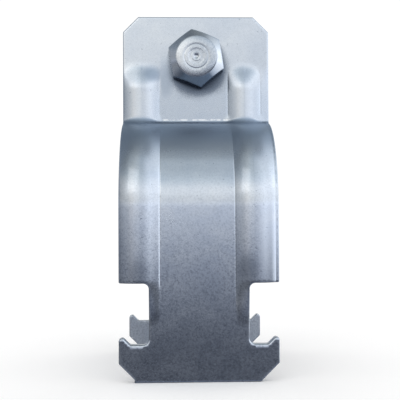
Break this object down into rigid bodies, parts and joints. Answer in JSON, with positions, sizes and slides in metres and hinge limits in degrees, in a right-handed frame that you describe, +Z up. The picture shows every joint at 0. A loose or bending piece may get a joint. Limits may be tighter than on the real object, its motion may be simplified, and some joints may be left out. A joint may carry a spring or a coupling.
{
  "type": "strut pipe clamp",
  "caption": "Pressed steel pipe clamp: matching ribbed half straps drawn together by a hex bolt and nut, with T-shaped feet that hook under the lips of a strut channel.",
  "frame": {"origin": "centre of the pipe seat, on the pipe's axis, halfway across the strap and halfway between the two half straps", "axes": "+X along the pipe, +Y along the bolt from its head to its nut, +Z up from the feet to the ears"},
  "size_m": [0.0318, 0.0396, 0.0762],
  "materials": {
    "strap_plating": "electro zinc plated pressed sheet, fine matt grain with a soft sheen",
    "bolt_plating": "bright zinc plated, cold forged and turned",
    "nut_plating": "bright zinc plated"
  },
  "bodies": {
    "front_half": {"front_strap": "strap_plating"},
    "bolt": {"clamp_bolt": "bolt_plating"},
    "nut": {"clamp_nut": "nut_plating"},
    "rear_half": {"rear_strap": "strap_plating"}
  },
  "joints": [
    {"name": "nut_travel", "type": "slide", "parent": "front_half", "child": "nut", "axis": [0, 1, 0], "range_m": [-0.00305, 0.00889]},
    {"name": "bolt_turn", "type": "hinge", "parent": "front_half", "child": "bolt", "pos_m": [0, -0.0035, 0.0321], "axis": [0, 1, 0], "range_deg": [-2520.1, 864.1]},
    {"name": "rear_swivel", "type": "hinge", "parent": "nut", "child": "rear_half", "pos_m": [0, 0.0035, 0.0321], "axis": [0, 1, 0], "continuous": true}
  ],
  "couplings": [
    {"joint": "bolt_turn", "follows": "nut_travel", "rad_per_m": -4947.4}
  ]
}
